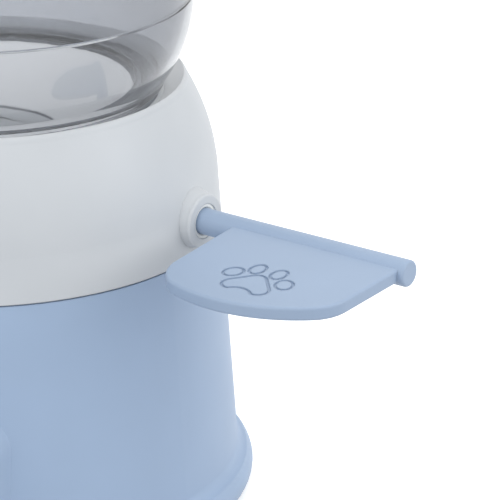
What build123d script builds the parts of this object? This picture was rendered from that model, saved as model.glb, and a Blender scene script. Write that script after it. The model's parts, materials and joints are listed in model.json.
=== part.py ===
from build123d import *
import os
from math import cos, radians, sin, sqrt

# A gravity cat feeder. Millimetres, +Z up, origin on the body axis at the table.
# +X is the side of the paw lever and -Y is the front, where the bowl slides out.

# Fits
SLIP = 0.3
SHAFT_GAP = 0.05
SCREW_GAP = 0.02
DRUM_GAP = 0.6
OVERCUT = 1.0

# Base shell: foot flange, tapered wall and the spigot that carries the dome
FLOOR_GAP = 1.5
FLANGE_R = 100.0
FLANGE_EDGE = 3.4
FLANGE_ROUND = 1.6
FLANGE_SIDE_Z = 6.0
FLANGE_TOP = 11.2
FLANGE_LIP = 3.5
FLANGE_WIDTH = 5.75
FOOT_Z = 15.0
COVE = (1.1, 2.4)
WALL_TAPER = 6.05
BASE_WALL = 2.6
SPIGOT_WALL = 2.3
SPIGOT_H = 6.0
SPIGOT_ROOT = 6.9
SNAP = 0.5

# Front bay and the bowl that slides into it
BAY_WIDTH = 133.0
BAY_TOP = 69.0
BAY_CORNER = 20.0
BAY_REACH = 8.0
BAY_BACK = 50.0
BAY_OVERLAP = 10.0
BAY_WALL = 3.0
BAY_EDGE_ROUND = 1.2
BOWL_SLIP = 0.6
BOWL_INSET = 5.0
BOWL_REACH = 60.0
BOWL_TOP = 42.0
BOWL_WALL = 2.4
BOWL_LIP = 2.0
BOWL_LIP_T = 2.6
BOWL_LIP_ROUND = 0.9
BOWL_CORNER = 14.0
BOWL_HEEL_R = 3.0
BOWL_SCOOP_R = 8.0
BOWL_FOOT_W = 5.0
BOWL_FOOT_INSET = 4.0
BOWL_FOOT_GAP = 3.0

# Base plate, foot ring and their fixings
PLATE_T = 3.2
RING_INSET = 1.8
RING_WIDTH = 7.5
RING_T = 3.0
PLATE_SCREW_INSET = 14.25
PLATE_SCREW_ANGLES = (-15.0, 60.0, 120.0, 195.0)
PLATE_SCREW_L = 14.0
TIP_ROOM = 2.0
POST_R = 4.5
POST_RIB = 2.4
POST_END = 3.0
TONGUE_SETBACK = 0.5
STOP_WIDTH = 40.0
STOP_T = 2.7
STOP_H = 8.0

# Dome cover, whose top is a shallow dish round the hopper
DOME_RIM_STEP = 0.4
DOME_SEAM = 0.6
DOME_SIDE_STEP = 0.8
DOME_SIDE_RISE = 17.0
DOME_BELLY = 2.55
DOME_WALL = 2.4
RIDGE_INSET = 2.4
RIDGE_RISE = 3.9
RIDGE_ROUND = (1.6, 2.2)
DISH_GAP = 2.5
LEDGE_T = 2.4

# Clear hopper, its lid and the seals
HOPPER_R = 78.9
HOPPER_CREASE_RISE = 37.1
HOPPER_CURVE_R = 53.0
HOPPER_WALL = 2.4
HOPPER_FLOOR_T = 3.0
HOPPER_FLARE = 0.7
HOPPER_WALL_H = 49.4
HOPPER_TONGUE = 1.5
TONGUE_WALL = 1.6
HEEL_Z = 4.0
HEEL_R = 3.4
TOE_Z = 3.5
TOE_R = 3.6
NECK_INSET = 7.2
NECK_WALL = 2.4
SEAL_T = 1.5
SEAL_RIM = 0.8
LID_WALL = 2.4
LID_SKIRT = 8.0
LID_RISE = 11.0
LID_SHOULDER_IN = 5.0
LID_SHOULDER_RISE = 5.2
LID_PLUG_H = 7.0
LID_PLUG_GAP = 2.2
LID_PLUG_WALL = 2.0
LID_SEAL_H = 3.0
LID_SEAL_RISE = 1.5
LID_SEAL_DEPTH = 1.0
LID_SEAL_BULGE = 1.7
KNOB_R = 16.0
KNOB_STEM_R = 9.0
KNOB_STEM_H = 5.0
KNOB_H = 8.0
KNOB_ROUND = 3.5
KNOB_UNDER_ROUND = 2.0
KNOB_SCREW_L = 8.0

# Shaft of the lever, which runs along X behind the body axis
SHAFT_Y = 16.4
SHAFT_RISE = 14.2
ROD_R = 4.75
ROD_FLAT = 1.5
ROD_PROUD = 1.8
ROD_ROUND = 0.9
PRESS_TILT = 4.5

# Paw plate, its outline given as X and the distance forward of the shaft
PAW_GAP = 14.4
PAW_WIDTH = 70.6
PAW_REACH = 54.3
PAW_CREST = 28.3
PAW_TAPER = 2.5
PAW_INNER_DROP = 7.3
PAW_OUTER_DROP = 15.6
PAW_INNER_ROUND = 16.0
PAW_OUTER_ROUND = 14.0
PAW_TOP = 2.8
PAW_T = 5.0
PAW_ROUND = 1.0

# Paw mark: lobes of the pad, the notch between them and four toes
PAW_GROOVE = 0.6
PAW_LINE = 1.1
MARK_IN = 33.5
MARK_BACK = 14.4
PAD_TOP = (4.9, 4.0)
PAD_SIDE = (5.6, 1.5, 4.1)
PAD_NOTCH = (9.3, 5.9)
INNER_TOE = (4.4, 11.9)
INNER_TOE_SIZE = (4.2, 3.2)
OUTER_TOE = (10.6, 6.2)
OUTER_TOE_SIZE = (4.2, 3.6)
OUTER_TOE_TURN = 60.0

# Boss and bushes
BOSS_R = 9.9
BOSS_FLARE = 1.5
BOSS_PROUD = 3.8
BOSS_DEPTH = 13.0
BOSS_ROUND = 0.9
FLARE_START = 7.5
FLARE_LENGTH = 6.0
BUSH_SINK = 0.4
BUSH_CHAMFER = 0.6
BUSH_WALL = 1.6
BUSH_FLANGE = 1.6
BUSH_FLANGE_RISE = 1.2

# Metering drum and its housing
DRUM_R = 17.0
DRUM_LENGTH = 54.0
DRUM_END = 5.0
POCKET_R = 8.4
POCKET_RISE = 15.2
CORE_R = 3.6
CORE_END = 3.0
CORE_ANGLES = (200.0, 245.0, 295.0, 340.0)
END_GAP = 0.4
HOUSING_WALL = 2.2
HOUSING_END = 3.0
INLET_INSET = 1.0
INLET_Y = 11.5
PAD_WALL = 1.0
PAD_INSET = 3.0
OUTLET_INSET = 3.0
OUTLET_DROP = 10.0
OUTLET_RISE = 9.0
OUTLET_DEPTH = 13.0
EAR = 10.0
EAR_T = 4.0
LEG_HALF = 18.0
FOOT_LENGTH = 12.0
FOOT_T = 3.0
FOOT_SCREW_Y = 11.0

# Funnel
FUNNEL_INSET = 3.5
FUNNEL_HEIGHT = 16.7
FUNNEL_LIP = 1.2
FUNNEL_WALL = 2.2
FUNNEL_FLANGE = 2.0
FUNNEL_FOOT_X = 4.4
FUNNEL_FOOT_Y = 3.5
GASKET_T = 1.0
GASKET_EDGE = 0.4

# Deck
DECK_RISE = 11.0
DECK_T = 2.5
DECK_RIM_GAP = 1.2
DECK_SLOT_FRONT = 68.0
DECK_BOSS_R = 4.0
DECK_BOSS_H = 3.0
DECK_POST_L = 18.0
DECK_SCREW_INSET = 6.7
DECK_SCREW_L = 12.0
DECK_SCREW_ANGLES = (35.0, 145.0, 215.0, 325.0)
RIM_RISE = 23.0

# Chute
CHUTE_GAP = 1.4
CHUTE_WALL = 2.0
CHUTE_BACK_Y = 12.0
CHUTE_BACK_RISE = 9.5
CHUTE_REACH = 33.0
CHUTE_DROP = 6.0
CHUTE_SIDE = 13.0
CHUTE_BACK_SIDE = 4.0
CHUTE_SHOULDER = 10.0
CHUTE_SHOULDER_RISE = 7.0
CHUTE_ROOM = 40.0
TAB_REACH = 6.0
TAB_END = 4.0
TAB_HALF = 8.0
TAB_T = 2.4
TAB_Y = -24.0
SCREW_TAIL = 2.0

# Return spring, collar and the screw in the end of the rod
SPRING_R = 10.0
WIRE_R = 0.6
LEG_SPARE = 0.06
SPRING_PITCH = 1.6
SPRING_TURNS = 6
SPRING_CLEARANCE = 1.5
LEG_LAP = 0.5
LEG_DEPTH = 3.0
COLLAR_T = 6.0
COLLAR_RIM = 3.0
GRUB_SINK = 0.5
GRUB_SLOT = (2.0, 0.6, 3.0)
FLAT_SPARE = 1.0
WASHER_T = 1.0
WASHER_RIM = 1.0
LEVER_SCREW_L = 11.0

# Screws: radius of shank, radius and height of head
M3 = (1.5, 2.8, 1.9)
M4 = (2.0, 3.6, 2.6)
HEAD_SINK = 1.5
CROSS_WIDTH = 0.7

# Worked out from the sizes above: base, bay and bowl
FOOT_R = FLANGE_R - FLANGE_WIDTH
RIM_R = FOOT_R - WALL_TAPER
PLATE_R = FLANGE_R - FLANGE_EDGE - SLIP
RING_OUT = PLATE_R - RING_INSET
RING_IN = RING_OUT - RING_WIDTH
PLATE_TOP = FLOOR_GAP + PLATE_T
PLATE_SCREW_R = FOOT_R - PLATE_SCREW_INSET
PLATE_SEAT = FLOOR_GAP + HEAD_SINK
PLATE_BOSS_TOP = PLATE_SEAT + PLATE_SCREW_L + TIP_ROOM + POST_END
BAY_FRONT = FLANGE_R + BAY_REACH
BAY_HALF = BAY_WIDTH / 2
BAY_IN = BAY_HALF - BAY_WALL
BOWL_HALF = BAY_IN - BOWL_SLIP
BOWL_BACK = BAY_BACK - BOWL_INSET
BOWL_FRONT = BAY_FRONT + BOWL_REACH
BOWL_CENTRE_Y = BOWL_HALF - BOWL_FRONT
BOWL_Z = PLATE_TOP + SLIP

# Heights of the deck, the rim and the shaft
DECK_Z = BAY_TOP + DECK_RISE
DECK_TOP = DECK_Z + DECK_T
DECK_SCREW_R = RIM_R - DECK_SCREW_INSET
RIM_Z = DECK_Z + RIM_RISE
SPIGOT_TOP = RIM_Z + SPIGOT_H
SNAP_Z = RIM_Z + SPIGOT_H / 2
SPIGOT_OUT = RIM_R - BASE_WALL - SLIP
SHAFT_Z = RIM_Z + SHAFT_RISE
FOOT_TOP = DECK_TOP + FOOT_T
EAR_TOP = SHAFT_Z + EAR_T
TAB_TOP = DECK_TOP + TAB_T

# Drum, housing and funnel
DRUM_HALF = DRUM_LENGTH / 2
POCKET_HALF = DRUM_HALF - DRUM_END
DRUM_BORE = DRUM_R + DRUM_GAP
HOUSING_R = DRUM_BORE + HOUSING_WALL
HOUSING_IN_X = DRUM_HALF + END_GAP
HOUSING_X = HOUSING_IN_X + HOUSING_END
PAD_Z = SHAFT_Z + DRUM_BORE + PAD_WALL
INLET_X = POCKET_HALF - INLET_INSET
FUNNEL_BOTTOM = PAD_Z + GASKET_T
LEDGE_Z = FUNNEL_BOTTOM + FUNNEL_HEIGHT
LEDGE_UNDER = LEDGE_Z - LEDGE_T
FUNNEL_TOP = LEDGE_Z + FUNNEL_LIP

# Hopper and lid
HOPPER_Z = LEDGE_Z + SEAL_T
HOPPER_CREASE_Z = LEDGE_Z + HOPPER_CREASE_RISE
HOPPER_MOUTH_R = HOPPER_R + HOPPER_FLARE
HOPPER_MOUTH_Z = HOPPER_CREASE_Z + HOPPER_WALL_H
HOPPER_CENTRE_R = HOPPER_R - HOPPER_CURVE_R
HOPPER_FOOT_R = HOPPER_CENTRE_R + sqrt(HOPPER_CURVE_R**2 - (HOPPER_CREASE_Z - HOPPER_Z) ** 2)
NECK_R = HOPPER_FOOT_R - NECK_INSET
SEAL_OUT = HOPPER_FOOT_R + SEAL_RIM
FUNNEL_R = NECK_R - FUNNEL_INSET
LID_R = HOPPER_MOUTH_R + SLIP + LID_WALL
LID_TOP = HOPPER_MOUTH_Z + LID_RISE
PLUG_R = HOPPER_MOUTH_R - HOPPER_WALL - LID_PLUG_GAP
LID_SEAL_Z = HOPPER_MOUTH_Z - LID_PLUG_H + LID_SEAL_RISE

# Dome
DOME_IN_R = SPIGOT_OUT + SLIP / 2
DOME_RIM_R = RIM_R + DOME_RIM_STEP
DOME_SIDE_R = RIM_R - DOME_SIDE_STEP
DOME_SIDE_Z = RIM_Z + DOME_SIDE_RISE
DOME_RIDGE_R = HOPPER_R - RIDGE_INSET
DOME_RIDGE_Z = LEDGE_Z + RIDGE_RISE
DOME_TOP_R = DOME_RIDGE_R - RIDGE_ROUND[0]
DOME_TOP_Z = DOME_RIDGE_Z + RIDGE_ROUND[1]
DISH_R = HOPPER_FOOT_R + DISH_GAP

# Chute
CHUTE_X = HOUSING_IN_X - CHUTE_GAP - CHUTE_WALL
CHUTE_OUT = CHUTE_X + CHUTE_WALL
CHUTE_BACK = (CHUTE_BACK_Y, DECK_TOP + CHUTE_BACK_RISE)
CHUTE_END = (-(BOWL_BACK + CHUTE_REACH), BOWL_TOP + CHUTE_DROP)
OUTLET_X = CHUTE_X - OUTLET_INSET

# Boss, bushes, spring, collar and lever, from the middle outwards
BOSS_FACE_X = DOME_SIDE_R + BOSS_PROUD
BUSH_IN = ROD_R + SHAFT_GAP
BUSH_OUT = BUSH_IN + BUSH_WALL
BUSH_FACE_X = HOUSING_X + BUSH_FLANGE
LEG_R = WIRE_R + LEG_SPARE
SPRING_X = BUSH_FACE_X + 2 * WIRE_R + SPRING_CLEARANCE
SPRING_LENGTH = SPRING_PITCH * SPRING_TURNS
COLLAR_R = SPRING_R + COLLAR_RIM
COLLAR_X = SPRING_X + SPRING_LENGTH + 2 * WIRE_R
COLLAR_END = COLLAR_X + COLLAR_T
COLLAR_MID = COLLAR_X + COLLAR_T / 2
ROD_END_X = -(BUSH_FACE_X + SLIP)
ROD_FLAT_Z = SHAFT_Z + ROD_R - ROD_FLAT
PAW_INNER_X = BOSS_FACE_X + PAW_GAP
PAW_OUTER_X = PAW_INNER_X + PAW_WIDTH
ROD_TIP_X = PAW_OUTER_X + ROD_PROUD
UP = (Align.CENTER, Align.CENTER, Align.MIN)


def block(x, y, z):
    """Box between two limits on each axis."""
    size = Box(x[1] - x[0], y[1] - y[0], z[1] - z[0], align=(Align.MIN,) * 3)
    return Pos(x[0], y[0], z[0]) * size


def rod(radius, low, high, at=(0, 0)):
    """Upright cylinder from one height to another."""
    return Pos(at[0], at[1], low) * Cylinder(radius, high - low, align=UP)


def ring(outer, inner, low, high, at=(0, 0)):
    return rod(outer, low, high, at) - rod(inner, low, high, at)


def shaft(radius, start, end, y=SHAFT_Y, z=SHAFT_Z):
    """Cylinder along X, on the lever's axis unless told otherwise."""
    return Pos(start, y, z) * Rot(0, 90, 0) * Cylinder(radius, end - start, align=UP)


def crown_arc(edge_r, edge_z, top_z, outward=False):
    """Arc of a sphere that is centred on the body axis, from an edge to the top."""
    rise = top_z - edge_z
    sphere_r = (edge_r**2 + rise**2) / (2 * rise)
    mid_r = edge_r / 2
    mid = (mid_r, top_z - sphere_r + sqrt(sphere_r**2 - mid_r**2))
    ends = [(edge_r, edge_z), (0, top_z)]
    if outward:
        ends.reverse()
    return ThreePointArc(ends[0], mid, ends[1])


def spun(*lines):
    """Solid turned about the body axis from an outline in radius and height."""
    face = make_face(Plane.XZ * (Curve() + list(lines)))
    return revolve(face, Axis.Z)


def polar(radius, angle):
    return radius * cos(radians(angle)), radius * sin(radians(angle))


def wall_r(z):
    """Outer radius of the base wall at a height."""
    return FOOT_R + (RIM_R - FOOT_R) * (z - FOOT_Z) / (RIM_Z - FOOT_Z)


def screw(size, length, at, up=False):
    """Cross-head screw, head resting on a point, shank running down or up."""
    radius, head_r, head_h = size
    head = rod(head_r, 0, head_h)
    head = fillet(head.edges().group_by(Axis.Z)[-1], head_h * 0.4)
    slot = Pos(0, 0, head_h) * (Box(head_r, CROSS_WIDTH, head_h) + Box(CROSS_WIDTH, head_r, head_h))
    piece = head - slot + rod(radius, -length, 0)
    turn = Rot(180, 0, 0) if up else Rot(0, 0, 0)
    return Pos(*at) * turn * piece


def screw_hole(size, low, high, at):
    return rod(size[0] + SCREW_GAP, low, high, at)


def group(pieces):
    return Compound(children=list(pieces))


def arch(half, top, corner, front, back, bottom):
    """Prism along Y with two rounded top corners."""
    outline = Rectangle(2 * half, top - bottom, align=(Align.CENTER, Align.MIN))
    outline = fillet(outline.vertices().group_by(Axis.Y)[-1], corner)
    section = Plane((0, -back, bottom), x_dir=(1, 0, 0), z_dir=(0, -1, 0)) * outline
    return extrude(section, front - back)


# Base

def base_inside():
    """The room inside the base wall, down to the underside."""
    return spun(
        Polyline(
            (0, FLOOR_GAP - OVERCUT),
            (PLATE_R + SLIP, FLOOR_GAP - OVERCUT),
            (PLATE_R + SLIP, PLATE_TOP + SLIP),
            (FOOT_R - BASE_WALL, FLANGE_TOP + OVERCUT),
            (wall_r(RIM_Z) - BASE_WALL, RIM_Z - SPIGOT_ROOT),
            (SPIGOT_OUT - SPIGOT_WALL, RIM_Z - SPIGOT_ROOT + SPIGOT_WALL),
            (SPIGOT_OUT - SPIGOT_WALL, SPIGOT_TOP + OVERCUT),
            (0, SPIGOT_TOP + OVERCUT),
            close=True,
        )
    )


def base_outside():
    under = (FLANGE_R - FLANGE_ROUND, FLOOR_GAP)
    lip = (FOOT_R + FLANGE_LIP, FLANGE_TOP)
    cove = (FOOT_R + COVE[0], FOOT_Z - COVE[1])
    return spun(
        Polyline((0, FLOOR_GAP), under),
        ThreePointArc(under, (FLANGE_R, FLANGE_SIDE_Z), lip),
        ThreePointArc(lip, cove, (FOOT_R, FOOT_Z)),
        Polyline(
            (FOOT_R, FOOT_Z),
            (RIM_R, RIM_Z),
            (SPIGOT_OUT, RIM_Z),
            (SPIGOT_OUT, SNAP_Z - SNAP),
            (SPIGOT_OUT + SNAP, SNAP_Z),
            (SPIGOT_OUT, SNAP_Z + SNAP),
            (SPIGOT_OUT, SPIGOT_TOP),
            (0, SPIGOT_TOP),
            (0, FLOOR_GAP),
        ),
    )


def post(at_r, angle, low, high):
    """Screw post that a rib ties to the base wall."""
    reach = wall_r(high) - BASE_WALL / 2
    rib = block((at_r, reach), (-POST_RIB / 2, POST_RIB / 2), (low, high))
    return Rot(0, 0, angle) * (rod(POST_R, low, high, (at_r, 0)) + rib)


def base_shell():
    bay = arch(BAY_HALF, BAY_TOP, BAY_CORNER, BAY_FRONT, BAY_BACK, FLOOR_GAP)
    bay = fillet(bay.faces().sort_by(Axis.Y)[0].edges(), BAY_EDGE_ROUND)
    inner = (BAY_IN, BAY_TOP - BAY_WALL, BAY_CORNER - BAY_WALL)
    mouth = arch(*inner, BAY_FRONT + OVERCUT, BAY_BACK - BAY_OVERLAP, FLOOR_GAP - OVERCUT)
    shell = base_outside() + bay - base_inside() - mouth
    for angle in PLATE_SCREW_ANGLES:
        shell += post(PLATE_SCREW_R, angle, PLATE_TOP, PLATE_BOSS_TOP)
        at = polar(PLATE_SCREW_R, angle)
        shell -= screw_hole(M3, PLATE_TOP, PLATE_BOSS_TOP - POST_END, at)
    for angle in DECK_SCREW_ANGLES:
        low = DECK_Z - DECK_POST_L
        shell += post(DECK_SCREW_R, angle, low, DECK_Z)
        shell -= screw_hole(M3, low + POST_END, DECK_Z, polar(DECK_SCREW_R, angle))
    return shell


def base_plate():
    side = BAY_IN - SLIP
    tongue_y = (TONGUE_SETBACK - BAY_FRONT, -BAY_BACK)
    tongue = block((-side, side), tongue_y, (FLOOR_GAP, PLATE_TOP))
    stop_y = SLIP - BOWL_BACK
    stop_x = (-STOP_WIDTH / 2, STOP_WIDTH / 2)
    stop = block(stop_x, (stop_y, stop_y + STOP_T), (PLATE_TOP, PLATE_TOP + STOP_H))
    plate = rod(PLATE_R, FLOOR_GAP, PLATE_TOP) + tongue + stop
    plate -= ring(RING_OUT, RING_IN, FLOOR_GAP, RING_T)
    for angle in PLATE_SCREW_ANGLES:
        at = polar(PLATE_SCREW_R, angle)
        plate -= rod(M3[1] + SLIP, FLOOR_GAP, PLATE_SEAT, at)
        plate -= screw_hole(M3, FLOOR_GAP, PLATE_TOP, at)
    return plate


def base_plate_screws():
    places = [(*polar(PLATE_SCREW_R, angle), PLATE_SEAT) for angle in PLATE_SCREW_ANGLES]
    return group(screw(M3, PLATE_SCREW_L, place, up=True) for place in places)


def foot_ring():
    return ring(RING_OUT, RING_IN, 0, RING_T)


# Dome cover, with the boss that carries the lever

def dome_cover():
    side = (DOME_SIDE_R, DOME_SIDE_Z)
    ridge = (DOME_RIDGE_R, DOME_RIDGE_Z)
    top = (DOME_TOP_R, DOME_TOP_Z)
    bulge = ((DOME_SIDE_R + DOME_RIDGE_R) / 2 + DOME_BELLY, (DOME_SIDE_Z + DOME_RIDGE_Z) / 2)
    inner_side = (DOME_SIDE_R - DOME_WALL, DOME_SIDE_Z)
    inner_bulge = (bulge[0] - DOME_WALL, bulge[1])
    inner_ridge = (DOME_RIDGE_R - DOME_WALL, DOME_RIDGE_Z - DOME_WALL)
    round_off = (DOME_RIDGE_R - RIDGE_ROUND[0] / 4, DOME_RIDGE_Z + RIDGE_ROUND[1] / 2)
    seam_r = (DOME_IN_R + DOME_RIM_R) / 2
    hole_r = NECK_R + NECK_WALL + SLIP
    groove = SNAP + SLIP / 2
    skin = spun(
        Polyline(
            (DOME_IN_R, RIM_Z),
            (seam_r, RIM_Z),
            (seam_r, RIM_Z + DOME_SEAM),
            (DOME_RIM_R, RIM_Z + DOME_SEAM),
            side,
        ),
        ThreePointArc(side, bulge, ridge),
        ThreePointArc(ridge, round_off, top),
        Polyline(
            top,
            (DISH_R, LEDGE_Z),
            (hole_r, LEDGE_Z),
            (hole_r, LEDGE_UNDER),
            (DISH_R + DOME_WALL, LEDGE_UNDER),
            inner_ridge,
        ),
        ThreePointArc(inner_ridge, inner_bulge, inner_side),
        Polyline(
            inner_side,
            (DOME_IN_R, SPIGOT_TOP + OVERCUT),
            (DOME_IN_R, SNAP_Z + groove),
            (DOME_IN_R + groove, SNAP_Z),
            (DOME_IN_R, SNAP_Z - groove),
            (DOME_IN_R, RIM_Z),
        ),
    )
    flare = Cone(BOSS_R + BOSS_FLARE, BOSS_R, FLARE_LENGTH, align=UP)
    flare = Pos(BOSS_FACE_X - FLARE_START, SHAFT_Y, SHAFT_Z) * Rot(0, 90, 0) * flare
    boss = shaft(BOSS_R, BOSS_FACE_X - BOSS_DEPTH, BOSS_FACE_X)
    boss = fillet(boss.edges().sort_by(Axis.X)[-1], BOSS_ROUND)
    spigot_room = rod(DOME_IN_R, RIM_Z, SPIGOT_TOP + SLIP)
    bore = shaft(BUSH_OUT, 0, BOSS_FACE_X + OVERCUT)
    return skin + (boss + flare - spigot_room) - bore


def boss_bush():
    start = BOSS_FACE_X - BOSS_DEPTH
    bush = shaft(BUSH_OUT, start, BOSS_FACE_X - BUSH_SINK) - shaft(BUSH_IN, start, BOSS_FACE_X)
    rims = bush.edges().filter_by(GeomType.CIRCLE).group_by(Axis.X)[-1]
    return chamfer(rims.sort_by(SortBy.RADIUS)[0], BUSH_CHAMFER)


# Clear hopper

def hopper_r(z, inset=0.0):
    """Radius of the hopper's curved lower wall at a height."""
    rise = HOPPER_CREASE_Z - z
    return HOPPER_CENTRE_R + sqrt((HOPPER_CURVE_R - inset) ** 2 - rise**2)


def hopper_bowl():
    wall = HOPPER_WALL
    floor_z = HOPPER_Z + HOPPER_FLOOR_T
    neck_z = LEDGE_UNDER + SLIP
    low, in_low = HOPPER_Z + HEEL_Z, floor_z + TOE_Z
    mid, in_mid = (low + HOPPER_CREASE_Z) / 2, (in_low + HOPPER_CREASE_Z) / 2
    heel = (hopper_r(low), low)
    toe = (hopper_r(in_low, wall), in_low)
    crease = (HOPPER_R, HOPPER_CREASE_Z)
    in_crease = (HOPPER_R - wall, HOPPER_CREASE_Z)
    heel_mid = (heel[0] - HEEL_R / 3, HOPPER_Z + HEEL_Z / 3)
    toe_mid = (toe[0] - TOE_R / 3, floor_z + TOE_Z / 3)
    return spun(
        Polyline(
            (NECK_R, neck_z),
            (NECK_R + NECK_WALL, neck_z),
            (NECK_R + NECK_WALL, HOPPER_Z),
            (heel[0] - HEEL_R, HOPPER_Z),
        ),
        ThreePointArc((heel[0] - HEEL_R, HOPPER_Z), heel_mid, heel),
        ThreePointArc(heel, (hopper_r(mid), mid), crease),
        Line(crease, in_crease),
        ThreePointArc(in_crease, (hopper_r(in_mid, wall), in_mid), toe),
        ThreePointArc(toe, toe_mid, (toe[0] - TOE_R, floor_z)),
        Polyline((toe[0] - TOE_R, floor_z), (NECK_R, floor_z), (NECK_R, neck_z)),
    )


def hopper_wall():
    base = HOPPER_CREASE_Z
    out = hopper_r(base - HOPPER_TONGUE, HOPPER_WALL) - SLIP
    return spun(
        Polyline(
            (out, base - HOPPER_TONGUE),
            (out, base),
            (HOPPER_R, base),
            (HOPPER_MOUTH_R, HOPPER_MOUTH_Z),
            (HOPPER_MOUTH_R - HOPPER_WALL, HOPPER_MOUTH_Z),
            (HOPPER_R - HOPPER_WALL, base + 2 * HOPPER_TONGUE),
            (out - TONGUE_WALL, base),
            (out - TONGUE_WALL, base - HOPPER_TONGUE),
            close=True,
        )
    )


def hopper_seal():
    return ring(SEAL_OUT, NECK_R + NECK_WALL + SLIP, LEDGE_Z, HOPPER_Z)


# Lid

def lid():
    skirt_in = LID_R - LID_WALL
    skirt_z = HOPPER_MOUTH_Z - LID_SKIRT
    plug_in = PLUG_R - LID_PLUG_WALL
    plug_z = HOPPER_MOUTH_Z - LID_PLUG_H
    rim = (LID_R, HOPPER_MOUTH_Z)
    shoulder = (LID_R - LID_SHOULDER_IN, HOPPER_MOUTH_Z + LID_SHOULDER_RISE)
    shoulder_mid = (LID_R - LID_SHOULDER_IN / 4, HOPPER_MOUTH_Z + LID_SHOULDER_RISE * 0.65)
    under = (plug_in, shoulder[1] - LID_WALL)
    cap = spun(
        Polyline((skirt_in, HOPPER_MOUTH_Z), (skirt_in, skirt_z), (LID_R, skirt_z), rim),
        ThreePointArc(rim, shoulder_mid, shoulder),
        crown_arc(*shoulder, LID_TOP),
        Line((0, LID_TOP), (0, LID_TOP - LID_WALL)),
        crown_arc(*under, LID_TOP - LID_WALL, outward=True),
        Polyline(
            under,
            (plug_in, plug_z),
            (PLUG_R, plug_z),
            (PLUG_R, HOPPER_MOUTH_Z),
            (skirt_in, HOPPER_MOUTH_Z),
        ),
    )
    cap -= ring(PLUG_R, PLUG_R - LID_SEAL_DEPTH, LID_SEAL_Z, LID_SEAL_Z + LID_SEAL_H)
    cap -= rod(M4[1] + SLIP, HOPPER_MOUTH_Z, LID_TOP - LID_WALL)
    cap -= screw_hole(M4, HOPPER_MOUTH_Z, LID_TOP, (0, 0))
    return cap


def lid_seal():
    inner = PLUG_R - LID_SEAL_DEPTH
    seal = ring(PLUG_R + LID_SEAL_BULGE, inner, LID_SEAL_Z, LID_SEAL_Z + LID_SEAL_H)
    rims = seal.edges().filter_by(GeomType.CIRCLE).group_by(SortBy.RADIUS)[-1]
    return fillet(rims, LID_SEAL_H * 0.3)


def lid_knob():
    under = LID_TOP + KNOB_STEM_H
    cap = rod(KNOB_R, under, under + KNOB_H)
    cap = fillet(cap.edges().group_by(Axis.Z)[-1], KNOB_ROUND)
    cap = fillet(cap.edges().group_by(Axis.Z)[0], KNOB_UNDER_ROUND)
    knob = rod(KNOB_STEM_R, LID_TOP, under + OVERCUT) + cap
    return knob - screw_hole(M4, LID_TOP, LID_TOP + KNOB_SCREW_L + OVERCUT, (0, 0))


def lid_knob_screw():
    return screw(M4, LID_WALL + KNOB_SCREW_L, (0, 0, LID_TOP - LID_WALL), up=True)


# Lever: rod and paw plate in one

def paw_outline():
    """Plan of the paw plate: X against the distance forward of the shaft."""
    inner = (PAW_INNER_X, PAW_REACH - PAW_INNER_DROP)
    outer = (PAW_OUTER_X - PAW_TAPER, PAW_REACH - PAW_OUTER_DROP)
    crest = (PAW_INNER_X + PAW_CREST, PAW_REACH)
    sides = Polyline(outer, (PAW_OUTER_X, 0), (PAW_INNER_X, 0), inner)
    plan = make_face(Curve() + [sides, ThreePointArc(inner, crest, outer)])
    plan = fillet(plan.vertices().sort_by_distance(inner)[0], PAW_INNER_ROUND)
    return fillet(plan.vertices().sort_by_distance(outer)[0], PAW_OUTER_ROUND)


def oval_line(size, turn):
    a, b = size
    return Rot(0, 0, turn) * (Ellipse(a, b) - Ellipse(a - PAW_LINE, b - PAW_LINE))


def paw_mark():
    """Outlines of a pad and four toes, as grooves in the paw plate."""
    x, forward = PAW_INNER_X + MARK_IN, PAW_REACH - MARK_BACK
    out, down, side_r = PAD_SIDE
    lobes = [Pos(x, forward - PAD_TOP[0]) * Circle(PAD_TOP[1])]
    lobes += [Pos(x + side * out, forward + down) * Circle(side_r) for side in (-1, 1)]
    pad = make_hull([edge for lobe in lobes for edge in lobe.edges()])
    pad -= Pos(x, forward + PAD_NOTCH[0]) * Circle(PAD_NOTCH[1])
    marks = [pad - offset(pad, -PAW_LINE)]
    for side in (-1, 1):
        inner = Pos(x + side * INNER_TOE[0], forward - INNER_TOE[1])
        outer = Pos(x + side * OUTER_TOE[0], forward - OUTER_TOE[1])
        marks.append(inner * oval_line(INNER_TOE_SIZE, 90))
        marks.append(outer * oval_line(OUTER_TOE_SIZE, side * OUTER_TOE_TURN))
    return marks


def lever_frame(height):
    """Plane over the shaft, tilted as the lever rests, with +y to the front."""
    tilt = Rot(PRESS_TILT, 0, 0)
    return Pos(0, SHAFT_Y, SHAFT_Z) * tilt * Pos(0, 0, height) * Rot(180, 0, 0)


def paddle_lever():
    plate = extrude(paw_outline(), PAW_T)
    rims = plate.edges().group_by(Axis.Z)
    plate = fillet(rims[0] + rims[-1], PAW_ROUND)
    plate = lever_frame(PAW_TOP) * plate
    for mark in paw_mark():
        plate -= lever_frame(PAW_TOP) * extrude(mark, PAW_GROOVE)
    bar = shaft(ROD_R, ROD_END_X, ROD_TIP_X)
    bar = fillet(bar.edges().sort_by(Axis.X)[-1], ROD_ROUND)
    side = (SHAFT_Y - ROD_R, SHAFT_Y + ROD_R)
    bar -= block((ROD_END_X, COLLAR_END + FLAT_SPARE), side, (ROD_FLAT_Z, SHAFT_Z + ROD_R))
    bar -= shaft(M4[0] + SCREW_GAP, ROD_END_X, ROD_END_X + LEVER_SCREW_L + OVERCUT)
    return bar + plate


# Drum, collar and the fixings that turn with the lever

def keyed_bore(start, end):
    """Bore for the flatted end of the rod."""
    side = (SHAFT_Y - 2 * ROD_R, SHAFT_Y + 2 * ROD_R)
    bore = shaft(ROD_R + SHAFT_GAP, start, end)
    return bore - block((start, end), side, (ROD_FLAT_Z + SHAFT_GAP, SHAFT_Z + 2 * ROD_R))


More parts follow.
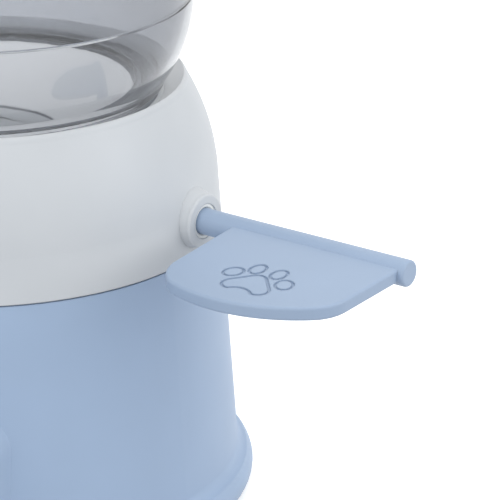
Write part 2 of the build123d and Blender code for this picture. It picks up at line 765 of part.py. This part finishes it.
def metering_drum():
    drum = shaft(DRUM_R, -DRUM_HALF, DRUM_HALF) - keyed_bore(-DRUM_HALF, DRUM_HALF)
    drum -= shaft(POCKET_R, -POCKET_HALF, POCKET_HALF, z=SHAFT_Z + POCKET_RISE)
    for angle in CORE_ANGLES:
        y, z = polar((ROD_R + DRUM_R) / 2, angle)
        drum -= shaft(CORE_R, CORE_END - DRUM_HALF, DRUM_HALF, SHAFT_Y + y, SHAFT_Z + z)
    return drum


def lever_washer():
    start = ROD_END_X - WASHER_T
    washer = shaft(BUSH_OUT + WASHER_RIM, start, ROD_END_X)
    return washer - shaft(M4[0] + SCREW_GAP, start, ROD_END_X)


def lever_screw():
    piece = screw(M4, LEVER_SCREW_L, (0, 0, 0))
    return Pos(ROD_END_X - WASHER_T, SHAFT_Y, SHAFT_Z) * Rot(0, -90, 0) * piece


def spring_collar():
    collar = shaft(COLLAR_R, COLLAR_X, COLLAR_END) - keyed_bore(COLLAR_X, COLLAR_END)
    leg_end = COLLAR_X + LEG_DEPTH + OVERCUT
    collar -= shaft(LEG_R + SHAFT_GAP, COLLAR_X, leg_end, z=SHAFT_Z - SPRING_R)
    return collar - screw_hole(M3, SHAFT_Z, SHAFT_Z + COLLAR_R, (COLLAR_MID, SHAFT_Y))


def collar_screw():
    at = (COLLAR_MID, SHAFT_Y)
    pin = rod(M3[0], ROD_FLAT_Z, SHAFT_Z + COLLAR_R - GRUB_SINK, at)
    return pin - Pos(*at, SHAFT_Z + COLLAR_R) * Box(*GRUB_SLOT)


# Housing round the drum

def on_side(side, shape):
    return shape if side > 0 else mirror(shape, Plane.YZ)


def housing_body():
    """Both halves in one, before the split along the shaft."""
    x, y = HOUSING_X, SHAFT_Y
    pad_y = (y - HOUSING_R + PAD_INSET, y + HOUSING_R - PAD_INSET)
    leg_y = (y - LEG_HALF, y + LEG_HALF)
    body = shaft(HOUSING_R, -x, x) + block((-x, x), pad_y, (SHAFT_Z, PAD_Z))
    body &= block((-x, x), (y - HOUSING_R, y + HOUSING_R), (DECK_TOP, PAD_Z))
    for side in (-1, 1):
        leg = block((HOUSING_IN_X, x), leg_y, (DECK_TOP, SHAFT_Z))
        foot = block((HOUSING_IN_X, x + FOOT_LENGTH), leg_y, (DECK_TOP, FOOT_TOP))
        body += on_side(side, leg + foot)
        for way in (-1, 1):
            edge = sorted((y + way * (DRUM_BORE + SLIP), y + way * (HOUSING_R + EAR)))
            body += on_side(side, block((x - EAR, x), edge, (SHAFT_Z - EAR_T, EAR_TOP)))
    body -= shaft(DRUM_BORE, -HOUSING_IN_X, HOUSING_IN_X)
    body -= shaft(BUSH_OUT, -x, x)
    outlet_y = (y - HOUSING_R - OVERCUT, y - OUTLET_DEPTH)
    body -= block((-OUTLET_X, OUTLET_X), outlet_y, (SHAFT_Z - OUTLET_DROP, SHAFT_Z + OUTLET_RISE))
    body -= Pos(0, y, SHAFT_Z) * extrude(Ellipse(INLET_X, INLET_Y), PAD_Z + OVERCUT - SHAFT_Z)
    return body - shaft(LEG_R + SHAFT_GAP, HOUSING_IN_X, x, z=SHAFT_Z - SPRING_R)


def corners(x, y):
    """Four points about the drum, at plus and minus two distances."""
    return [(sx * x, SHAFT_Y + sy * y) for sx in (-1, 1) for sy in (-1, 1)]


def ear_points():
    return corners(HOUSING_X - EAR / 2, HOUSING_R + EAR / 2)


def foot_points():
    return corners(HOUSING_X + FOOT_LENGTH / 2, FOOT_SCREW_Y)


def housing_part(low, high):
    """What the housing has between two heights."""
    x = HOUSING_X + FOOT_LENGTH
    reach = HOUSING_R + EAR
    return housing_body() & block((-x, x), (SHAFT_Y - reach, SHAFT_Y + reach), (low, high))


def housing_lower():
    lower = housing_part(DECK_TOP, SHAFT_Z)
    for at in ear_points():
        lower -= screw_hole(M3, SHAFT_Z - EAR_T, SHAFT_Z, at)
    for at in foot_points():
        lower -= screw_hole(M3, DECK_TOP, FOOT_TOP, at)
    return lower


def housing_upper():
    upper = housing_part(SHAFT_Z, PAD_Z)
    for at in ear_points():
        upper -= screw_hole(M3, SHAFT_Z, EAR_TOP, at)
    return upper


def housing_screws():
    return group(screw(M3, 2 * EAR_T, (*at, EAR_TOP)) for at in ear_points())


def housing_foot_screws():
    length = FOOT_T + DECK_T + SCREW_TAIL
    return group(screw(M3, length, (*at, FOOT_TOP)) for at in foot_points())


def shaft_bush_right():
    bush = shaft(BUSH_OUT, HOUSING_IN_X, BUSH_FACE_X)
    bush += shaft(BUSH_OUT + BUSH_FLANGE_RISE, HOUSING_X, BUSH_FACE_X)
    return bush - shaft(BUSH_IN, HOUSING_IN_X, BUSH_FACE_X)


def shaft_bush_left():
    return mirror(shaft_bush_right(), Plane.YZ)


def return_spring():
    """Coil round the rod, one straight end in the housing and one in the collar."""
    coil = Helix(SPRING_PITCH, SPRING_LENGTH, SPRING_R)
    wire = sweep(Plane(coil @ 0, z_dir=coil % 0) * Circle(WIRE_R), coil, is_frenet=True)
    inner_end = HOUSING_IN_X + LEG_LAP - SPRING_X
    outer_end = COLLAR_X + LEG_DEPTH - SPRING_X
    spring = wire + rod(LEG_R, inner_end, LEG_LAP, (SPRING_R, 0))
    spring += rod(LEG_R, SPRING_LENGTH - LEG_LAP, outer_end, (SPRING_R, 0))
    return Pos(SPRING_X, SHAFT_Y, SHAFT_Z) * Rot(0, 90, 0) * spring


# Food path

def oval(a, b, z):
    return Pos(0, SHAFT_Y, z) * Ellipse(a, b)


def funnel():
    out = FUNNEL_R + FUNNEL_WALL
    shoulder_z = LEDGE_UNDER + SLIP
    inlet = oval(INLET_X, INLET_Y, FUNNEL_BOTTOM)
    foot = oval(INLET_X + FUNNEL_FOOT_X, INLET_Y + FUNNEL_FOOT_Y, FUNNEL_BOTTOM)
    hollow = loft([Pos(0, 0, FUNNEL_TOP) * Circle(FUNNEL_R), inlet])
    skin = loft([Pos(0, 0, shoulder_z) * Circle(out), foot])
    body = skin + rod(out, shoulder_z, FUNNEL_TOP)
    collar = ring(out, FUNNEL_R, LEDGE_UNDER - FUNNEL_FLANGE, FUNNEL_TOP)
    flange = ring(SEAL_OUT, FUNNEL_R, LEDGE_UNDER - FUNNEL_FLANGE, LEDGE_UNDER)
    return body - hollow + collar + flange


def funnel_gasket():
    reach = (FUNNEL_FOOT_X - GASKET_EDGE, FUNNEL_FOOT_Y - GASKET_EDGE)
    face = oval(INLET_X + reach[0], INLET_Y + reach[1], PAD_Z)
    return extrude(face - oval(INLET_X, INLET_Y, PAD_Z), GASKET_T)


def mechanism_deck():
    deck = rod(wall_r(DECK_TOP) - BASE_WALL - DECK_RIM_GAP, DECK_Z, DECK_TOP)
    gap = CHUTE_OUT + 2 * SLIP
    slot_y = (-DECK_SLOT_FRONT, CHUTE_BACK_Y + CHUTE_WALL + OVERCUT)
    deck -= block((-gap, gap), slot_y, (DECK_Z, DECK_TOP))
    for angle in DECK_SCREW_ANGLES:
        deck -= screw_hole(M3, DECK_Z, DECK_TOP, polar(DECK_SCREW_R, angle))
    for at in foot_points() + chute_points():
        deck += rod(DECK_BOSS_R, DECK_Z - DECK_BOSS_H, DECK_Z, at)
        deck -= screw_hole(M3, DECK_Z - DECK_BOSS_H, DECK_TOP, at)
    return deck


def deck_screws():
    places = [(*polar(DECK_SCREW_R, angle), DECK_TOP) for angle in DECK_SCREW_ANGLES]
    return group(screw(M3, DECK_SCREW_L, place) for place in places)


def chute_points():
    return [(side * (CHUTE_OUT + TAB_REACH), TAB_Y) for side in (-1, 1)]


def chute():
    (y0, z0), (y1, z1) = CHUTE_BACK, CHUTE_END
    slope = (z0 - z1) / (y0 - y1)
    sides = [
        (y0, z0 - CHUTE_WALL),
        (y0, z0 + CHUTE_BACK_SIDE),
        (y0 - CHUTE_SHOULDER, z0 + CHUTE_SHOULDER_RISE),
        (y1, z1 + CHUTE_SIDE),
        (y1, z1 - CHUTE_WALL),
    ]
    bed_end = y1 - OVERCUT
    bed = [
        (y0, z0),
        (y0, z0 + CHUTE_ROOM),
        (bed_end, z1 + CHUTE_ROOM),
        (bed_end, z1 - slope * OVERCUT),
    ]
    outside = Plane((-CHUTE_OUT, 0, 0), x_dir=(0, 1, 0), z_dir=(1, 0, 0))
    inside = Plane((-CHUTE_X, 0, 0), x_dir=(0, 1, 0), z_dir=(1, 0, 0))
    body = extrude(outside * make_face(Polyline(*sides, close=True)), 2 * CHUTE_OUT)
    body -= extrude(inside * make_face(Polyline(*bed, close=True)), 2 * CHUTE_X)
    back_z = (z0 - CHUTE_WALL, z0 + CHUTE_BACK_SIDE)
    body += block((-CHUTE_OUT, CHUTE_OUT), (y0, y0 + CHUTE_WALL), back_z)
    tab_y = (TAB_Y - TAB_HALF, TAB_Y + TAB_HALF)
    tab = block((CHUTE_OUT, CHUTE_OUT + TAB_REACH + TAB_END), tab_y, (DECK_TOP, TAB_TOP))
    body += tab + on_side(-1, tab)
    for at in chute_points():
        body -= screw_hole(M3, DECK_TOP, TAB_TOP, at)
    return body


def chute_screws():
    length = TAB_T + DECK_T + SCREW_TAIL
    return group(screw(M3, length, (*at, TAB_TOP)) for at in chute_points())


# Bowl

def bowl_plan(inset):
    """Plan of the bowl: straight sides, rounded back corners and a round front."""
    half = BOWL_HALF - inset
    back = -BOWL_BACK - inset
    above = (Align.CENTER, Align.MAX)
    box = Pos(0, back) * Rectangle(2 * half, back - BOWL_CENTRE_Y, align=above)
    front = Circle(half) & Rectangle(2 * half, half, align=above)
    plan = box + Pos(0, BOWL_CENTRE_Y) * front
    return fillet(plan.vertices().group_by(Axis.Y)[-1], BOWL_CORNER - inset)


def bowl():
    floor = BOWL_Z + BOWL_WALL
    body = Pos(0, 0, BOWL_Z) * extrude(bowl_plan(BOWL_LIP), BOWL_TOP - BOWL_Z)
    body = fillet(body.edges().group_by(Axis.Z)[0], BOWL_HEEL_R)
    lip = Pos(0, 0, BOWL_TOP - BOWL_LIP_T) * extrude(bowl_plan(0), BOWL_LIP_T)
    lip = fillet(lip.edges().group_by(Axis.Z)[-1], BOWL_LIP_ROUND)
    hollow = Pos(0, 0, floor) * extrude(bowl_plan(BOWL_LIP + BOWL_WALL), BOWL_TOP - floor)
    hollow = fillet(hollow.edges().group_by(Axis.Z)[0], BOWL_SCOOP_R)
    foot_r = BOWL_HALF - BOWL_LIP - BOWL_FOOT_INSET
    foot_top = BOWL_Z + OVERCUT
    foot = ring(foot_r, foot_r - BOWL_FOOT_W, 0, foot_top, (0, BOWL_CENTRE_Y))
    foot_y = (-BOWL_FRONT, -BAY_FRONT - BOWL_FOOT_GAP)
    foot &= block((-BOWL_HALF, BOWL_HALF), foot_y, (0, foot_top))
    return body + lip + foot - hollow


PIECES = [
    base_shell, base_plate, base_plate_screws, foot_ring, dome_cover, boss_bush,
    mechanism_deck, deck_screws, housing_lower, housing_upper, housing_screws, housing_foot_screws,
    shaft_bush_right, shaft_bush_left, return_spring, funnel, funnel_gasket, chute, chute_screws,
    hopper_seal, hopper_bowl, hopper_wall, lid, lid_seal, lid_knob, lid_knob_screw,
    paddle_lever, metering_drum, spring_collar, collar_screw, lever_washer, lever_screw, bowl,
]

os.makedirs("parts", exist_ok=True)
for make in PIECES:
    export_step(make(), f"parts/{make.__name__}.step")
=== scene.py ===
import json
from math import atan2, cos, hypot, pi, radians, sin

import bmesh
import bpy
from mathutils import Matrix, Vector

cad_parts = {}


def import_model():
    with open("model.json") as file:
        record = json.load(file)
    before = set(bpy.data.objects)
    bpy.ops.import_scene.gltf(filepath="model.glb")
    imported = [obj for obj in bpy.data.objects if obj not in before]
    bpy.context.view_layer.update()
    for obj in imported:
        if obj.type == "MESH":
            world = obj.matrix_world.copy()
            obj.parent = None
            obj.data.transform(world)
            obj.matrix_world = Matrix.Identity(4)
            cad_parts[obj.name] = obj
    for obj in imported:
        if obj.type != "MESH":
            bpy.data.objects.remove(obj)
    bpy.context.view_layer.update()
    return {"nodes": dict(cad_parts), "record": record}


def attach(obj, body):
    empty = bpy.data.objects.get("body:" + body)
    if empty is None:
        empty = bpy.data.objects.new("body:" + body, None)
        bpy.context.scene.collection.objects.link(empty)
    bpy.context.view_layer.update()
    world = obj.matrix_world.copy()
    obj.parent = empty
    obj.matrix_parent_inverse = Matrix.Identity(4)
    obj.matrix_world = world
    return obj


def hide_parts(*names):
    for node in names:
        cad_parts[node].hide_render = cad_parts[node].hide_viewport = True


# An interactive cat feeder: every visible surface gets its moulded, clear or metal finish here.
# Metres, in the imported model's own frame.

MM = 0.001
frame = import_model()

# Finishes, as sRGB colours of the plain material
BASE_BLUE = (160, 180, 206)
LEVER_BLUE = (156, 174, 198)
BOWL_BLUE = (172, 191, 216)
DOME_WHITE = (201, 204, 207)
INNER_WHITE = (234, 236, 238)
BUSH_WHITE = (236, 236, 232)
SEAL_GREY = (142, 145, 150)
FOOT_GREY = (120, 122, 126)
STEEL = (180, 182, 186)
CLEAR = (212, 214, 218)
# Colour the clear plastic darkens to where its wall is seen edge-on: partly deeper tint, partly
# painted shade for dark reflections
CLEAR_EDGE_TINT_AND_SHADE = (108, 112, 120)
FLOOR_GREY = (158, 160, 164)

# Light that passes: whole through the clear hopper, in part through the lid
CLEAR_PASS = (1.0, 1.0, 1.0, 1.0)
LID_PASS = (0.84, 0.82, 0.8, 1.0)

# Sockets of the Mix node when it mixes colours
MIX_FACTOR, MIX_FIRST, MIX_SECOND, MIX_RESULT = 0, 6, 7, 2

# Studio light: the sky's own, the floor's glow, and how bright white looks through clear plastic
SKY_COLOUR = (0.95, 0.975, 1.0, 1.0)
SKY_LIGHT = 1.04
WHITE = (1.0, 1.0, 1.0, 1.0)
FLOOR_WHITE = (0.9, 0.9, 0.9, 1.0)
FLOOR_GLOW = 0.45
FLOOR_SIZE = 12.0
THROUGH_CLEAR = 0.55

# The photograph's view: place and target of the camera, and its long lens
CAMERA_AT = Vector((0.68701, -0.76964, 0.48360))
CAMERA_TARGET = Vector((0.07982, 0.05852, 0.09070))
CAMERA_LENS = 213.0
CAMERA_SENSOR = 36.0
CAMERA_NEAR = 0.05

# Clear hopper, in millimetres: radii, and heights above the ground
NECK_R, BORE_R = 60.36, 57.96
NECK_Z, FOOT_Z, SILL_Z = 151.4, 155.0, 158.0
CREASE_Z, BRIM_Z = 190.6, 240.0
BRIM_R, BRIM_INNER_R = 79.6, 77.2
FOOT_CURVE = ((65.05, FOOT_Z), (67.35, 156.4), (68.45, 159.0))
OUTER_CURVE = ((76.49, 174.8), (78.9, CREASE_Z))
CREASE_GROOVE = [(78.45, 190.95), (78.92, 191.3)]
INNER_CURVE = ((76.5, CREASE_Z), (74.36, 176.05), (67.3, 161.5))
SILL_CURVE = ((66.2, 159.1), (63.7, SILL_Z))
SMALL_STEPS, LARGE_STEPS, TURN_STEPS = 6, 16, 192
HOPPER_EDGE = 0.0004
EDGE_STEPS = 3
SHARP = radians(28.0)


def linear(colour):
    """Blender's colour for an sRGB one given from 0 to 255."""
    parts = [c / 255 for c in colour]
    parts = [c / 12.92 if c <= 0.04045 else ((c + 0.055) / 1.055) ** 2.4 for c in parts]
    return (*parts, 1.0)


# Materials

class Finish:
    """A material being built node by node."""

    def __init__(self, name):
        self.material = bpy.data.materials.new(name)
        self.material.use_nodes = True
        self.tree = self.material.node_tree
        self.shader = self.tree.nodes["Principled BSDF"]
        self.place = self.add("ShaderNodeTexCoord").outputs["Object"]

    def add(self, kind, **inputs):
        node = self.tree.nodes.new(kind)
        for key, value in inputs.items():
            node.inputs[key.replace("_", " ")].default_value = value
        return node

    def link(self, source, target):
        self.tree.links.new(source, target)

    def set(self, **values):
        for key, value in values.items():
            self.shader.inputs[key.replace("_", " ")].default_value = value

    def noise(self, scale, detail, rough=0.5):
        node = self.add("ShaderNodeTexNoise", Scale=scale, Detail=detail, Roughness=rough)
        self.link(self.place, node.inputs["Vector"])
        return node.outputs["Fac"]

    def blotches(self, colour, spread, scale):
        """Base colour that drifts a little about the plain one."""
        ramp = self.add("ShaderNodeValToRGB")
        low, high = ramp.color_ramp.elements
        low.position, high.position = 0.3, 0.7
        low.color = linear([c * (1 - spread) for c in colour])
        high.color = linear([min(255, c * (1 + spread)) for c in colour])
        self.link(self.noise(scale, detail=3.0), ramp.inputs["Fac"])
        self.link(ramp.outputs["Color"], self.shader.inputs["Base Color"])

    def roughness(self, low, high, scale):
        """Gloss that varies between two roughnesses."""
        reach = self.add("ShaderNodeMapRange", To_Min=low, To_Max=high)
        self.link(self.noise(scale, detail=4.0), reach.inputs["Value"])
        self.link(reach.outputs["Result"], self.shader.inputs["Roughness"])

    def grain(self, scale, height, edge=0.0):
        """Moulded skin as a fine bump, over edges that look slightly rounded."""
        bump = self.add("ShaderNodeBump", Strength=1.0, Distance=height)
        self.link(self.noise(scale, detail=3.0, rough=0.6), bump.inputs["Height"])
        if edge:
            bevel = self.add("ShaderNodeBevel", Radius=edge)
            bevel.samples = 4
            self.link(bevel.outputs["Normal"], bump.inputs["Normal"])
        self.link(bump.outputs["Normal"], self.shader.inputs["Normal"])

    def edge_tint_and_painted_shade(self, colour):
        """Darker colour where the wall is seen edge-on: partly the deeper tint of a longer path
        through the plastic, partly painted shade that stands in for the dark reflections there.
        """
        facing = self.add("ShaderNodeLayerWeight", Blend=0.35)
        mix = self.tree.nodes.new("ShaderNodeMix")
        mix.data_type = "RGBA"
        mix.inputs[MIX_SECOND].default_value = linear(colour)
        source = self.shader.inputs["Base Color"].links[0].from_socket
        self.link(facing.outputs["Facing"], mix.inputs[MIX_FACTOR])
        self.link(source, mix.inputs[MIX_FIRST])
        self.link(mix.outputs[MIX_RESULT], self.shader.inputs["Base Color"])

    def lets_light_by(self, tint):
        """Light on its way to other surfaces passes, tinted, instead of being held off."""
        path = self.add("ShaderNodeLightPath")
        falling = self.add("ShaderNodeMath")
        falling.operation = "MAXIMUM"
        passing = self.add("ShaderNodeBsdfTransparent", Color=tint)
        mix = self.add("ShaderNodeMixShader")
        self.link(path.outputs["Is Shadow Ray"], falling.inputs[0])
        self.link(path.outputs["Is Diffuse Ray"], falling.inputs[1])
        self.link(falling.outputs[0], mix.inputs["Fac"])
        self.link(self.shader.outputs[0], mix.inputs[1])
        self.link(passing.outputs[0], mix.inputs[2])
        self.link(mix.outputs[0], self.tree.nodes["Material Output"].inputs["Surface"])


def satin(name, colour, rough):
    """Satin injection moulded skin, still open to further nodes."""
    finish = Finish(name)
    finish.blotches(colour, spread=0.012, scale=22.0)
    finish.roughness(low=rough - 0.05, high=rough + 0.06, scale=60.0)
    finish.grain(scale=1400.0, height=0.000012, edge=0.0006)
    finish.set(IOR=1.49)
    return finish


def moulded(name, colour, rough):
    """Moulded plastic that holds light off."""
    return satin(name, colour, rough).material


def translucent(name, colour, rough):
    """Moulded plastic that looks solid but lets part of the light on it reach what lies behind."""
    finish = satin(name, colour, rough)
    finish.lets_light_by(LID_PASS)
    return finish.material


def clear_plastic(name):
    """Moulded clear plastic, which lets light reach what lies behind it."""
    finish = Finish(name)
    finish.blotches(CLEAR, spread=0.004, scale=12.0)
    # Painted shade on the edge-on walls, along with the deeper tint of a longer path
    finish.edge_tint_and_painted_shade(CLEAR_EDGE_TINT_AND_SHADE)
    finish.roughness(low=0.015, high=0.05, scale=25.0)
    finish.grain(scale=60.0, height=0.00002)
    finish.set(IOR=1.5, Transmission_Weight=1.0)
    finish.lets_light_by(CLEAR_PASS)
    return finish.material


def rubber(name, colour):
    """Dull soft rubber."""
    finish = Finish(name)
    finish.blotches(colour, spread=0.05, scale=90.0)
    finish.roughness(low=0.62, high=0.8, scale=120.0)
    finish.grain(scale=1800.0, height=0.00003, edge=0.0004)
    return finish.material


def steel(name, colour, rough):
    """Drawn or turned steel."""
    finish = Finish(name)
    finish.blotches(colour, spread=0.05, scale=300.0)
    finish.roughness(low=rough - 0.06, high=rough + 0.1, scale=900.0)
    finish.grain(scale=2500.0, height=0.00001, edge=0.0002)
    finish.set(Metallic=1.0)
    return finish.material


MATERIALS = {
    "base_blue": moulded("base_blue", BASE_BLUE, 0.46),
    "underside_blue": moulded("underside_blue", BASE_BLUE, 0.55),
    "lever_blue": moulded("lever_blue", LEVER_BLUE, 0.4),
    "bowl_blue": moulded("bowl_blue", BOWL_BLUE, 0.32),
    "lid_blue": translucent("lid_blue", BASE_BLUE, 0.4),
    "drum_white": moulded("drum_white", INNER_WHITE, 0.45),
    "dome_white": moulded("dome_white", DOME_WHITE, 0.44),
    "funnel_white": moulded("funnel_white", INNER_WHITE, 0.5),
    "inner_white": moulded("inner_white", INNER_WHITE, 0.5),
    "bush_white": moulded("bush_white", BUSH_WHITE, 0.35),
    "hopper_clear": clear_plastic("hopper_clear"),
    "seal_grey": rubber("seal_grey", SEAL_GREY),
    "foot_rubber": rubber("foot_rubber", FOOT_GREY),
    "spring_steel": steel("spring_steel", STEEL, 0.3),
    "screw_steel": steel("screw_steel", STEEL, 0.35),
}


def dress_frame():
    """Every CAD node takes the finish of its material slot."""
    for part in frame["record"]["subparts"]:
        mesh = frame["nodes"][part["node"]].data
        mesh.materials.clear()
        mesh.materials.append(MATERIALS[part["material_slot"]])


# Pieces that stand for CAD nodes

def arc(start, mid, end, steps):
    """Points after the first, along the circle through three points of an outline."""
    (ax, ay), (bx, by), (cx, cy) = start, mid, end
    d = 2 * (ax * (by - cy) + bx * (cy - ay) + cx * (ay - by))
    a2, b2, c2 = ax * ax + ay * ay, bx * bx + by * by, cx * cx + cy * cy
    ox = (a2 * (by - cy) + b2 * (cy - ay) + c2 * (ay - by)) / d
    oy = (a2 * (cx - bx) + b2 * (ax - cx) + c2 * (bx - ax)) / d
    radius = hypot(ax - ox, ay - oy)
    first = atan2(ay - oy, ax - ox)
    turn = atan2(cy - oy, cx - ox) - first
    turn = (turn + pi) % (2 * pi) - pi
    angles = [first + turn * k / steps for k in range(1, steps + 1)]
    return [(ox + radius * cos(a), oy + radius * sin(a)) for a in angles]


def lathe(name, outline, body, slot, nodes, edge):
    """Solid turned about the body axis from a closed outline in radius and height, in millimetres."""
    bm = bmesh.new()
    turns = [2 * pi * k / TURN_STEPS for k in range(TURN_STEPS)]
    rings = []
    for r, z in outline:
        rings.append([bm.verts.new((r * cos(t) * MM, r * sin(t) * MM, z * MM)) for t in turns])
    for lower, upper in zip(rings, rings[1:] + rings[:1]):
        for k in range(TURN_STEPS):
            n = (k + 1) % TURN_STEPS
            bm.faces.new([lower[k], lower[n], upper[n], upper[k]])
    bmesh.ops.recalc_face_normals(bm, faces=bm.faces)
    mesh = bpy.data.meshes.new(name)
    bm.to_mesh(mesh)
    bm.free()
    mesh.shade_smooth()
    mesh.set_sharp_from_angle(angle=SHARP)
    mesh.materials.append(MATERIALS[slot])
    piece = bpy.data.objects.new(name, mesh)
    bpy.context.scene.collection.objects.link(piece)
    bevel = piece.modifiers.new("rounded", "BEVEL")
    bevel.width = edge
    bevel.segments = EDGE_STEPS
    bevel.limit_method = "ANGLE"
    bevel.angle_limit = SHARP
    bevel.harden_normals = True
    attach(piece, body)
    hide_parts(*nodes)


def hopper():
    """Clear hopper in one: neck, floor, curved lower wall and straight upper wall."""
    outline = [(NECK_R, NECK_Z), (NECK_R, FOOT_Z), FOOT_CURVE[0]]
    outline += arc(*FOOT_CURVE, SMALL_STEPS)
    outline += arc(outline[-1], *OUTER_CURVE, LARGE_STEPS)
    outline += CREASE_GROOVE
    outline += [(BRIM_R, BRIM_Z), (BRIM_INNER_R, BRIM_Z), INNER_CURVE[0]]
    outline += arc(*INNER_CURVE, LARGE_STEPS)
    outline += arc(outline[-1], *SILL_CURVE, SMALL_STEPS)
    outline += [(BORE_R, SILL_Z), (BORE_R, NECK_Z)]
    nodes = ["hopper_bowl", "hopper_wall"]
    lathe("clear_hopper", outline, "hopper", "hopper_clear", nodes, HOPPER_EDGE)


# Stage

def camera():
    data = bpy.data.cameras.new("camera")
    data.lens = CAMERA_LENS
    data.sensor_width = CAMERA_SENSOR
    data.clip_start = CAMERA_NEAR
    eye = bpy.data.objects.new("camera", data)
    eye.location = CAMERA_AT
    eye.rotation_euler = (CAMERA_TARGET - CAMERA_AT).to_track_quat("-Z", "Y").to_euler()
    bpy.context.scene.collection.objects.link(eye)
    bpy.context.scene.camera = eye


def lamp(name, size, power, at, target):
    data = bpy.data.lights.new(name, "AREA")
    data.shape = "DISK"
    data.size = size
    data.energy = power
    piece = bpy.data.objects.new(name, data)
    piece.location = at
    piece.rotation_euler = (Vector(target) - Vector(at)).to_track_quat("-Z", "Y").to_euler()
    bpy.context.scene.collection.objects.link(piece)


def seen_rays(tree):
    """One for what the camera or a glossy surface sees, less through clear plastic, else zero."""
    path = tree.nodes.new("ShaderNodeLightPath")
    seen = path.outputs["Is Camera Ray"]
    for kind in ("Glossy", "Transmission"):
        either = tree.nodes.new("ShaderNodeMath")
        either.operation = "MAXIMUM"
        tree.links.new(seen, either.inputs[0])
        tree.links.new(path.outputs[f"Is {kind} Ray"], either.inputs[1])
        seen = either.outputs[0]
    dimmed = tree.nodes.new("ShaderNodeMath")
    dimmed.operation = "MULTIPLY_ADD"
    dimmed.inputs[1].default_value = THROUGH_CLEAR - 1.0
    tree.links.new(path.outputs["Is Transmission Ray"], dimmed.inputs[0])
    tree.links.new(seen, dimmed.inputs[2])
    return dimmed.outputs[0]


def world():
    sky = bpy.data.worlds.new("studio")
    sky.use_nodes = True
    tree = sky.node_tree
    soft = tree.nodes["Background"]
    soft.inputs["Color"].default_value = SKY_COLOUR
    soft.inputs["Strength"].default_value = SKY_LIGHT
    plain = tree.nodes.new("ShaderNodeBackground")
    plain.inputs["Color"].default_value = WHITE
    mix = tree.nodes.new("ShaderNodeMixShader")
    tree.links.new(seen_rays(tree), mix.inputs["Fac"])
    tree.links.new(soft.outputs[0], mix.inputs[1])
    tree.links.new(plain.outputs[0], mix.inputs[2])
    tree.links.new(mix.outputs[0], tree.nodes["World Output"].inputs["Surface"])
    bpy.context.scene.world = sky


def floor():
    """Floor that is seen as white with the object's shadow, but throws back light as a grey one."""
    bpy.ops.mesh.primitive_plane_add(size=FLOOR_SIZE)
    sheet = bpy.context.object
    sheet.name = "floor"
    finish = Finish("floor_white")
    finish.blotches(FLOOR_GREY, spread=0.01, scale=2.0)
    finish.roughness(low=0.8, high=0.9, scale=4.0)
    tree = finish.tree
    lit = finish.add("ShaderNodeBsdfDiffuse", Color=FLOOR_WHITE)
    glow = finish.add("ShaderNodeEmission", Color=WHITE, Strength=FLOOR_GLOW)
    white = finish.add("ShaderNodeAddShader")
    mix = finish.add("ShaderNodeMixShader")
    finish.link(lit.outputs[0], white.inputs[0])
    finish.link(glow.outputs[0], white.inputs[1])
    finish.link(seen_rays(tree), mix.inputs["Fac"])
    finish.link(finish.shader.outputs[0], mix.inputs[1])
    finish.link(white.outputs[0], mix.inputs[2])
    finish.link(mix.outputs[0], tree.nodes["Material Output"].inputs["Surface"])
    sheet.data.materials.append(finish.material)


dress_frame()
hopper()
camera()
world()
floor()
lamp("top", size=0.6, power=2.6, at=(0.0, 0.0, 1.7), target=(0, 0, 0.1))
lamp("right", size=0.9, power=5.0, at=(1.5, 0.5, 0.6), target=(0, 0, 0.12))
lamp("front", size=1.2, power=7.6, at=(0.0, -1.9, 0.4), target=(0, 0, 0.1))
bpy.context.scene.view_settings.view_transform = "Standard"
